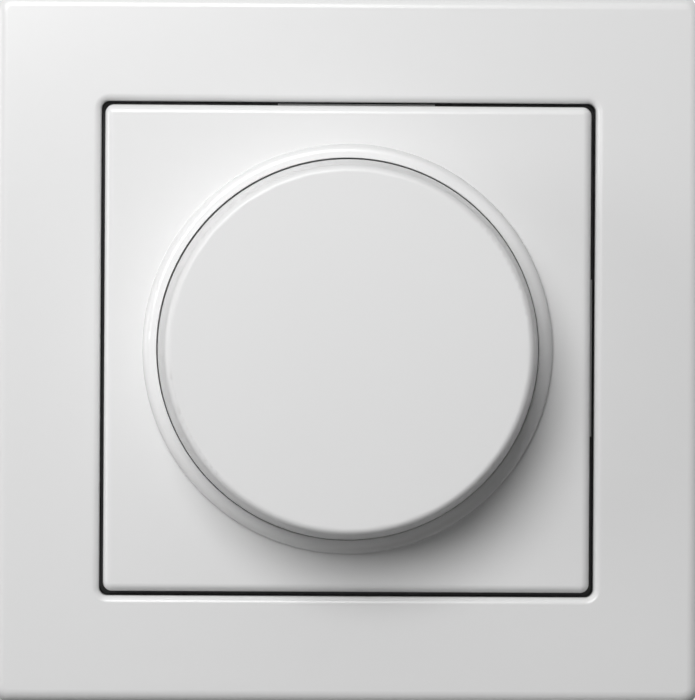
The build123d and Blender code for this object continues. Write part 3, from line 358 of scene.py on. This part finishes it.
def make_laminate():
    """Green lacquer over a weave: two waves at right angles, added, raise it by a micron."""
    material, tree, shader = start_material("lacquered_laminate", board_colour, 0.3)
    tint(tree, add_noise(tree, 90.0, 3.0), board_colour, 0.18, shader.inputs["Base Color"])
    place = tree.nodes.new("ShaderNodeTexCoord")
    threads = []
    for direction in ("X", "Z"):
        wave = tree.nodes.new("ShaderNodeTexWave")
        wave.bands_direction = direction
        wave.inputs["Scale"].default_value = 0.314 / weave_pitch
        tree.links.new(place.outputs["Object"], wave.inputs["Vector"])
        threads.append(wave.outputs["Fac"])
    weave = tree.nodes.new("ShaderNodeMath")
    weave.operation = "ADD"
    tree.links.new(threads[0], weave.inputs[0])
    tree.links.new(threads[1], weave.inputs[1])
    raise_grain(tree, weave.outputs["Value"], 3e-6, shader)
    return material


soften("circuit_board", make_laminate(), board_edge)

# The choke damps the hum of the lamp. Its ferrite ring carries one layer of enamelled copper
# wire, wound by hand, with a gap between the first turn and the last.
copper_colour = (0.50, 0.17, 0.06)
ferrite_colour = (0.045, 0.045, 0.05)
choke_turns = 23
choke_span = radians(312)
choke_start = radians(4)
steps_per_loop = 28
choke_wire = 0.00036
turn_width = 0.0043      # of a whole turn, across the ring
turn_squareness = 0.45   # 1 is round, 0 is square
core_edge = 0.0004

ferrite = mould("ferrite", ferrite_colour, 0.6, 2600.0, 1.2e-5, 0.2)
soften("choke_core", ferrite, core_edge)


def make_copper():
    """Enamelled wire: deep copper under a clear coat, a little darker from turn to turn."""
    material, tree, shader = start_material("enamelled_wire", copper_colour, 0.25, 0.85)
    shader.inputs["Coat Weight"].default_value = 0.6
    shader.inputs["Coat Roughness"].default_value = 0.12
    tint(tree, add_noise(tree, 400.0, 2.0), copper_colour, 0.2, shader.inputs["Base Color"])
    return material


core_low, core_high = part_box("choke_core")
winding_low, winding_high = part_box("choke_winding")
middle = (core_low + core_high) / 2
half_height = (winding_high.y - winding_low.y) / 2 - choke_wire
half_width = turn_width / 2 - choke_wire
ring_middle = (core_high.x - core_low.x) / 2 + choke_wire - half_width
t = np.linspace(0, 1, choke_turns * steps_per_loop + 1)
round_core = 2 * pi * choke_turns * t
# A turn follows a rounded square: each of cosine and sine is drawn towards its own sign.
across = np.sign(np.cos(round_core)) * np.abs(np.cos(round_core)) ** turn_squareness
along = np.sign(np.sin(round_core)) * np.abs(np.sin(round_core)) ** turn_squareness
round_ring = choke_start + choke_span * t
reach = ring_middle + half_width * across
choke_path = np.stack(
    [
        middle.x + reach * np.cos(round_ring),
        middle.y + half_height * along,
        middle.z + reach * np.sin(round_ring),
    ],
    -1,
)
winding = wire_along("choke_turns", choke_path, choke_wire * 0.95, make_copper(), sides=8)
set_up(winding, "choke_winding")

# The other parts stand on the board: film capacitors in moulded cases, lacquered resistors
# with rings of paint, a glass diac, and a glass fuse with plated caps in two sprung clips.
case_colour = (0.55, 0.36, 0.05)
coat_colour = (0.48, 0.34, 0.19)
tin_colour = (0.60, 0.60, 0.58)
glass_colour = (0.55, 0.24, 0.08)
tube_colour = (0.62, 0.66, 0.66)
paint_rings = ((0.28, 0.10, 0.03), (0.015, 0.015, 0.015), (0.45, 0.06, 0.02), (0.55, 0.38, 0.10))
body_half = 0.00325      # from the middle of a resistor to its leads
first_ring = 0.0011      # from the body's end
ring_width = 0.0005
ring_pitch = 0.00125
diac_half = 0.0021
diac_ring = (0.0011, 0.0016)
lead_reach = 0.01        # past the tip of every lead
far = 0.05               # past the end of every case
cap_length = 0.005
metal, plain = (1, 1, 1), (0, 0, 0)


def band(tree, axis, edges, colours, socket):
    """Paint bands square to an axis: the place along it, spread over 0 to 1 between the first
    and last edge, picks its colour from a ramp of steps."""
    place = tree.nodes.new("ShaderNodeTexCoord")
    apart = tree.nodes.new("ShaderNodeSeparateXYZ")
    span = tree.nodes.new("ShaderNodeMapRange")
    span.inputs["From Min"].default_value = edges[0]
    span.inputs["From Max"].default_value = edges[-1]
    ramp = tree.nodes.new("ShaderNodeValToRGB")
    ramp.color_ramp.interpolation = "CONSTANT"
    for i, colour in enumerate(colours):
        at = (edges[i] - edges[0]) / (edges[-1] - edges[0])
        stop = ramp.color_ramp.elements[i] if i < 2 else ramp.color_ramp.elements.new(at)
        stop.position = at
        stop.color = (*colour, 1.0)
    tree.links.new(place.outputs["Object"], apart.inputs["Vector"])
    tree.links.new(apart.outputs[axis], span.inputs["Value"])
    tree.links.new(span.outputs["Result"], ramp.inputs["Fac"])
    tree.links.new(ramp.outputs["Color"], socket)


def make_axial(name, colour, edges, colours, roughness):
    """A small body with painted rings between two tinned leads, along Z."""
    material, tree, shader = start_material(name, colour, roughness)
    half = edges[-2]
    band(tree, "Z", edges, colours, shader.inputs["Base Color"])
    leads = (-lead_reach, -half, half, lead_reach)
    band(tree, "Z", leads, (metal, plain, metal), shader.inputs["Metallic"])
    raise_grain(tree, add_noise(tree, 1500.0, 2.0), 6e-6, shader)
    return material


ring_edges, ring_colours = [-lead_reach, -body_half], [tin_colour, coat_colour]
for i, colour in enumerate(paint_rings):
    start = -body_half + first_ring + i * ring_pitch
    ring_edges += [start, start + ring_width]
    ring_colours += [colour, coat_colour]
ring_edges += [body_half, lead_reach]
ring_colours += [tin_colour]
coated = make_axial("lacquered_resistor", coat_colour, ring_edges, ring_colours, 0.32)
for name in ("resistor_1", "resistor_2", "resistor_3"):
    finish_as(name, coated)
finish_as(
    "diac",
    make_axial(
        "diac_glass",
        glass_colour,
        (-lead_reach, -diac_half, *diac_ring, diac_half, lead_reach),
        (tin_colour, glass_colour, (0.02, 0.02, 0.02), glass_colour, tin_colour),
        0.12,
    ),
)


def make_case(name, board_face, lead_side):
    """A moulded case that ends at the board's face, with tinned leads beyond it."""
    material, tree, shader = start_material(name, case_colour, 0.33)
    edges = (-far, board_face, far)
    colours = (tin_colour, case_colour) if lead_side == "front" else (case_colour, tin_colour)
    band(tree, "Y", edges, colours, shader.inputs["Base Color"])
    shares = (metal, plain) if lead_side == "front" else (plain, metal)
    band(tree, "Y", edges, shares, shader.inputs["Metallic"])
    raise_grain(tree, add_noise(tree, 2200.0, 3.0), 5e-6, shader)
    return material


board_low, board_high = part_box("circuit_board")
finish_as("suppression_capacitor", make_case("large_case", board_high.y, "front"))
finish_as("timing_capacitor", make_case("small_case", board_low.y, "back"))


def make_fuse():
    """A clear glass tube that shows pale, between two plated caps, along X."""
    material, tree, shader = start_material("fuse_tube", tube_colour, 0.08)
    low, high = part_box("fuse")
    caps = (-far, low.x + cap_length, high.x - cap_length, far)
    band(tree, "X", caps, (tin_colour, tube_colour, tin_colour), shader.inputs["Base Color"])
    band(tree, "X", caps, (metal, plain, metal), shader.inputs["Metallic"])
    drift(tree, add_noise(tree, 300.0, 2.0), 0.05, 0.14, shader.inputs["Roughness"])
    return material


finish_as("fuse", make_fuse())
for name in ("fuse_clip_1", "fuse_clip_2"):
    soften(name, bronze, strip_edge)

# The potentiometer is a moulded can with a ring of carbon film on its floor. A bronze finger
# on the rotor wipes the film as the shaft turns, and three pins join it to the board.
carbon_colour = (0.02, 0.02, 0.02)
can_edge = 0.00012
rotor_edge = 0.0001

soften("pot_housing", dark_board, can_edge)
finish_as("resistor_track", mould("carbon_film", carbon_colour, 0.7, 5000.0, 4e-6, 0.15))
soften("wiper_rotor", dark_board, rotor_edge)
finish_as("wiper_contact", bronze)
finish_as("pot_terminals", brass)

# The triac is a black epoxy body moulded onto a tinned copper tab. It lies on a grey silicone
# pad against the steel frame, and a screw with a hexagon nut holds it there.
epoxy_colour = (0.02, 0.02, 0.02)
pad_colour = (0.30, 0.36, 0.40)
epoxy_length = 0.0088    # from the pad's left end
epoxy_edge = 0.0001
pad_edge = 0.00005


def make_triac():
    """Leads, body and tab lie one after another along X, and only the body is epoxy."""
    material, tree, shader = start_material("epoxy_and_tab", epoxy_colour, 0.5)
    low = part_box("thermal_pad")[0]
    edges = (-far, low.x, low.x + epoxy_length, far)
    band(tree, "X", edges, (tin_colour, epoxy_colour, tin_colour), shader.inputs["Base Color"])
    band(tree, "X", edges, (metal, plain, metal), shader.inputs["Metallic"])
    grain = add_noise(tree, 3200.0, 3.0)
    drift(tree, grain, 0.42, 0.6, shader.inputs["Roughness"])
    raise_grain(tree, grain, 8e-6, shader)
    return material


soften("triac", make_triac(), epoxy_edge)
soften("thermal_pad", mould("silicone_pad", pad_colour, 0.75, 2500.0, 8e-6, 0.06), pad_edge)
soften("triac_screw", screw_zinc, screw_edge)
soften("triac_nut", screw_zinc, screw_edge)

# A cut sheet of dark fibre board closes the housing towards the front and keeps the parts
# inside away from the steel frame.
soften("insulating_cover", dark_board, board_edge)

# The support frame is a stamping of bright zinc-plated steel that lies on the wall, with a
# burr-free rounded edge. Screws through its slots hold the insert in the wall box.
sheet_edge = 0.00015
sheet_zinc = make_zinc("rolled_zinc", zinc_colour, (0.08, 1.0, 1.0))
soften("support_frame", sheet_zinc, sheet_edge)
soften("housing_screws", screw_zinc, screw_edge)

# The bushing is turned from brass bar and guides the shaft. Two thin hexagon nuts sit on it,
# one behind the centre plate and one behind that on the steel frame.
nut_edge = 0.00012
finish_as("bushing", brass)
soften("bushing_nut", screw_zinc, nut_edge)
soften("plate_nut", screw_zinc, nut_edge)

# A claw on each side grips the wall box. It is bent from plated steel strip, its block nut
# climbs a long screw, and the screw has a rolled thread below a cross-recessed head.
thread_pitch = 0.0005
thread_depth = 0.00028
thread_steps = 20        # rings of points in each pitch
thread_sides = 40
thread_r = 0.00124
neck = 0.0006            # from the wall's plane to where the head's piece ends
thread_overlap = 0.0003  # how far the thread starts inside the head's piece
claw_edge = 0.00012
claw_nut_edge = 0.00015


def screw_thread(node, tip_y, neck_y, axis_x):
    """A rolled thread from a neck to a blunt tip, about an axis along Y.

    Angle and height run on a grid. The radius is the crest less the thread's depth times the
    distance of height / pitch - angle / turn from the nearest whole number, doubled, and both
    ends draw in to the root so that the thread runs out.
    """
    count = int(round((tip_y - neck_y) / thread_pitch * thread_steps))
    angle = np.linspace(0, 2 * pi, thread_sides, endpoint=False)
    height = np.linspace(0, tip_y - neck_y, count)
    a, h = np.meshgrid(angle, height)
    phase = h / thread_pitch - a / (2 * pi)
    tooth = 2 * np.abs(phase - np.round(phase))
    ends = np.clip(np.minimum(h, (tip_y - neck_y) - h) / thread_pitch, 0, 1)
    r = thread_r - thread_depth * (1 - (1 - tooth) * ends)
    rings = np.stack([axis_x + r * np.cos(a), neck_y + h, r * np.sin(a)], -1)
    tips = [(axis_x, neck_y, 0), (axis_x, tip_y, 0)]
    piece = close_rings(f"{node}_thread", rings, *tips, screw_zinc)
    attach(piece, nodes[node]["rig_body"])


def screw_head(node, cut_y):
    """The head and a short neck of a solid screw: what lies in front of the cut, closed."""
    form = merged(node)
    cut = bmesh.ops.bisect_plane(
        form,
        geom=form.verts[:] + form.edges[:] + form.faces[:],
        plane_co=(0, cut_y, 0),
        plane_no=(0, 1, 0),
        clear_outer=True,
    )["geom_cut"]
    rim = [item for item in cut if isinstance(item, bmesh.types.BMEdge)]
    bmesh.ops.contextual_create(form, geom=rim)
    bmesh.ops.recalc_face_normals(form, faces=form.faces)
    piece = piece_of(form, f"{node}_head", screw_zinc)
    round_edges(piece, screw_edge)
    set_up(piece, node)


for side in ("right", "left"):
    soften(f"claw_{side}", sheet_zinc, claw_edge)
    soften(f"claw_nut_{side}", screw_zinc, claw_nut_edge)
    screw = f"claw_screw_{side}"
    low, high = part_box(screw)
    screw_head(screw, neck)
    screw_thread(screw, high.y, neck - thread_overlap, (low.x + high.x) / 2)

# The shaft is turned from brass bar, with flats for the knob and the wiper. A dark open ring
# of spring steel in its groove keeps it in the bushing, and a split clip squeezes the hub.
shaft_edge = 0.00005
spring_edge = 0.00006
soften("shaft", brass, shaft_edge)
soften("shaft_ring", spring_steel, spring_edge)
soften("knob_clip", spring_steel, spring_edge)

# The cover frame and the centre plate are mouldings of hard white plastic with a polished,
# slightly wavy face. The plate is clamped behind the knob, and the frame with it.
# The walls down in the gap round the plate carry a painted shade: their white turns dark with
# depth.
white_colour = (0.80, 0.80, 0.80)
white_change = 0.004
# The colour of the painted shade in the gap, and the depths and distances over which it is
# painted.
painted_gap_shade = (0.05, 0.05, 0.05)
painted_shade_top = 0.0008         # below the frame's face, where the walls start to darken
painted_shade_bottom = 0.0024      # where they are darkest
frame_painted_shade = (0.02, 0.0006)   # from the axis, and past the plate's side
plate_painted_shade = (0.0012, 0.04)   # inside the plate's side, and from the axis


def worked_out(tree, operation, *inputs):
    """One step of arithmetic on numbers and on the results of other nodes."""
    step = tree.nodes.new("ShaderNodeMath")
    step.operation = operation
    for socket, given in zip(step.inputs, inputs):
        if isinstance(given, float):
            socket.default_value = given
        else:
            tree.links.new(given, socket)
    return step.outputs["Value"]


def make_gloss_white_with_painted_shade(name, inner, outer):
    """White gloss with a painted shade that turns it dark down in the gap round the plate.

    The larger of |x| and |z| is the distance from the knob's axis, measured square. Between
    inner and outer the colour falls to the dark painted shade, between two depths below the face.
    """
    material, tree, shader = start_material(name, white_colour, 0.22)
    clean = tree.nodes.new("ShaderNodeValToRGB")
    clean.color_ramp.elements[0].color = (*[c * (1 - white_change) for c in white_colour], 1.0)
    clean.color_ramp.elements[1].color = (*[c * (1 + white_change) for c in white_colour], 1.0)
    tree.links.new(add_noise(tree, 45.0, 2.0), clean.inputs["Fac"])
    place = tree.nodes.new("ShaderNodeTexCoord")
    apart = tree.nodes.new("ShaderNodeSeparateXYZ")
    tree.links.new(place.outputs["Object"], apart.inputs["Vector"])

    sides = [worked_out(tree, "ABSOLUTE", apart.outputs[axis]) for axis in ("X", "Z")]
    square = worked_out(tree, "MAXIMUM", *sides)
    past_inner = worked_out(tree, "GREATER_THAN", square, inner)
    short_of_outer = worked_out(tree, "LESS_THAN", square, outer)
    near = worked_out(tree, "MULTIPLY", past_inner, short_of_outer)
    # Painted shade: the colour gets darker with depth down in the gap.
    deep = tree.nodes.new("ShaderNodeMapRange")
    deep.inputs["From Min"].default_value = face_y + painted_shade_top
    deep.inputs["From Max"].default_value = face_y + painted_shade_bottom
    tree.links.new(apart.outputs["Y"], deep.inputs["Value"])
    mix = tree.nodes.new("ShaderNodeMix")
    mix.data_type = "RGBA"
    colours = [socket for socket in mix.inputs if socket.type == "RGBA"]
    colours[1].default_value = (*painted_gap_shade, 1.0)
    tree.links.new(clean.outputs["Color"], colours[0])
    shade = worked_out(tree, "MULTIPLY", near, deep.outputs["Result"])
    tree.links.new(shade, mix.inputs["Factor"])
    result = [socket for socket in mix.outputs if socket.type == "RGBA"][0]
    tree.links.new(result, shader.inputs["Base Color"])
    skin = add_noise(tree, 1200.0, 3.0)
    drift(tree, skin, 0.20, 0.24, shader.inputs["Roughness"])
    raise_grain(tree, skin, 1.2e-6, shader)
    return material


face_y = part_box("cover_frame")[0].y
plate_low, plate_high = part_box("centre_plate")
plate_half = (plate_high.x - plate_low.x) / 2
frame_white = make_gloss_white_with_painted_shade("frame_white_painted_gap_shade", frame_painted_shade[0], plate_half + frame_painted_shade[1])
plate_white = make_gloss_white_with_painted_shade("plate_white_painted_gap_shade", plate_half - plate_painted_shade[0], plate_painted_shade[1])
finish_as("cover_frame", frame_white)
finish_as("centre_plate", plate_white)

# The knob is a moulded cup that is pushed on the shaft. Its face is satin, so it shows no
# clear reflection. The side leans in a hair more than the solid's, to a softer rim.
satin_colour = (0.79, 0.79, 0.79)
satin_white = mould("satin_white", satin_colour, 0.34, 6000.0, 2.5e-6, 0.003)
knob_rim_r = 0.0207      # where face and side would meet without the round
knob_skin_r = 0.018      # all that lies farther out belongs to the cup's wall
rim_round = 0.0006
skin_play = 2e-5
rim_draw = 1.4           # how much wider the round becomes
side_lean = 0.00014      # how far the rim moves inwards
lean_start = 0.0022      # from the foot to where the side starts to lean


def draw_in(name, material):
    """Stand a copy of the knob in for the solid. Near the corner of face and side, the
    distances to that corner grow by rim_draw, and the whole wall then moves towards the axis by
    side_lean times its share of the way from lean_start to the face."""
    piece = piece_of(merged(name), f"{name}_soft", material)
    points = np.empty(len(piece.data.vertices) * 3)
    piece.data.vertices.foreach_get("co", points)
    points = points.reshape(-1, 3)
    low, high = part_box(name)
    face, lean_from = low.y, high.y - lean_start
    reach, depth = np.hypot(points[:, 0], points[:, 2]), points[:, 1]
    near = (reach > knob_rim_r - rim_round - skin_play) & (depth < face + rim_round + skin_play)
    radius = np.where(near, knob_rim_r + (reach - knob_rim_r) * rim_draw, reach)
    level = np.where(near, face + (depth - face) * rim_draw, depth)
    share = np.clip((lean_from - level) / (lean_from - face), 0, 1)
    radius = np.where(reach > knob_skin_r, radius - side_lean * share, radius)
    points[:, [0, 2]] *= (radius / np.maximum(reach, 1e-9))[:, None]
    points[:, 1] = level
    piece.data.vertices.foreach_set("co", points.ravel())
    piece.data.set_sharp_from_angle(angle=sharp_angle)
    shading = piece.modifiers.new("shading", "WEIGHTED_NORMAL")
    shading.keep_sharp = True
    set_up(piece, name)


draw_in("knob", satin_white)

# A plain pale floor lies under the frame's lower edge.
floor_colour = (0.72, 0.72, 0.72)
floor_play = 0.0002
floor_level = cad_bounds[0][2] - floor_play
bpy.ops.mesh.primitive_plane_add(size=4.0, location=(0, 0, floor_level))
floor = bpy.context.object
floor.name = "floor"
floor_material, floor_tree, floor_shader = start_material("floor", floor_colour, 0.7)
floor.data.materials.append(floor_material)


def seen_or_lit(tree, seen, lit):
    """One value for what the camera and a reflection see, another for the light it throws."""
    rays = tree.nodes.new("ShaderNodeLightPath")
    direct = tree.nodes.new("ShaderNodeMath")
    direct.operation = "MAXIMUM"
    span = tree.nodes.new("ShaderNodeMapRange")
    span.inputs["To Min"].default_value = lit
    span.inputs["To Max"].default_value = seen
    tree.links.new(rays.outputs["Is Camera Ray"], direct.inputs[0])
    tree.links.new(rays.outputs["Is Glossy Ray"], direct.inputs[1])
    tree.links.new(direct.outputs["Value"], span.inputs["Value"])
    return span.outputs["Result"]


floor_shader.inputs["Emission Color"].default_value = (1.0, 1.0, 1.0, 1.0)
floor_tree.links.new(seen_or_lit(floor_tree, 0.16, 0.04), floor_shader.inputs["Base Color"])
floor_tree.links.new(seen_or_lit(floor_tree, 0.53, 0.0), floor_shader.inputs["Emission Strength"])

# The camera looks square at the plate, a little from the left and from above, as in the
# photograph, and a millimetre on the plate's face takes photo_scale pixels.
photo_width = 695
photo_scale = 8.85
collar_rise = 0.0015
aside, up = -0.00003, -0.00006   # from the knob's axis to the middle of the picture
camera_distance = 0.60
camera_left = radians(1.0)
camera_up = radians(0.3)
camera_roll = radians(0.33)
target = Vector((aside, plate_low.y + collar_rise, up))
flat = cos(camera_up)
away = Vector((-sin(camera_left) * flat, -cos(camera_left) * flat, sin(camera_up)))
camera_data = bpy.data.cameras.new("camera")
camera_data.sensor_fit = "HORIZONTAL"
camera_data.sensor_width = 36.0
camera_data.lens = camera_data.sensor_width * camera_distance * photo_scale * 1000 / photo_width
camera_data.clip_start = 0.01
camera = bpy.data.objects.new("camera", camera_data)
bpy.context.scene.collection.objects.link(camera)
camera.location = target + away * camera_distance
turned = (-away).to_track_quat("-Z", "Y")
camera.rotation_mode = "QUATERNION"
camera.rotation_quaternion = turned @ Quaternion((0, 0, 1), camera_roll)
bpy.context.scene.camera = camera


# A broad soft lamp stands on the upper left. Two weak ones light the plate from above and from
# the left, one lights the back, and a dim room fills the shadows.
def add_lamp(name, off_normal, azimuth, distance, size, energy):
    """A round lamp aimed at the plate, off its normal by an angle towards an azimuth that
    counts clockwise in the photograph from the right."""
    direction = Vector((
        cos(azimuth) * sin(off_normal), -cos(off_normal), -sin(azimuth) * sin(off_normal)
    ))
    data = bpy.data.lights.new(name, "AREA")
    data.shape = "DISK"
    data.size = size
    data.energy = energy
    lamp = bpy.data.objects.new(name, data)
    bpy.context.scene.collection.objects.link(lamp)
    lamp.location = target + direction * distance
    lamp.rotation_mode = "QUATERNION"
    lamp.rotation_quaternion = (-direction).to_track_quat("-Z", "Y")


add_lamp("key", radians(29), radians(241), 0.40, 0.25, 1.32)
add_lamp("above", radians(54), radians(270), 0.36, 0.28, 0.15)
add_lamp("left", radians(72), radians(184), 0.60, 0.30, 0.85)
add_lamp("behind", radians(124), radians(325), 0.60, 0.40, 2.4)

world = bpy.data.worlds.new("room")
world.use_nodes = True
background = world.node_tree.nodes["Background"]
background.inputs["Color"].default_value = (1, 1, 1, 1)
world.node_tree.links.new(seen_or_lit(world.node_tree, 0.58, 0.01), background.inputs["Strength"])
bpy.context.scene.world = world
bpy.context.scene.view_settings.view_transform = "Standard"
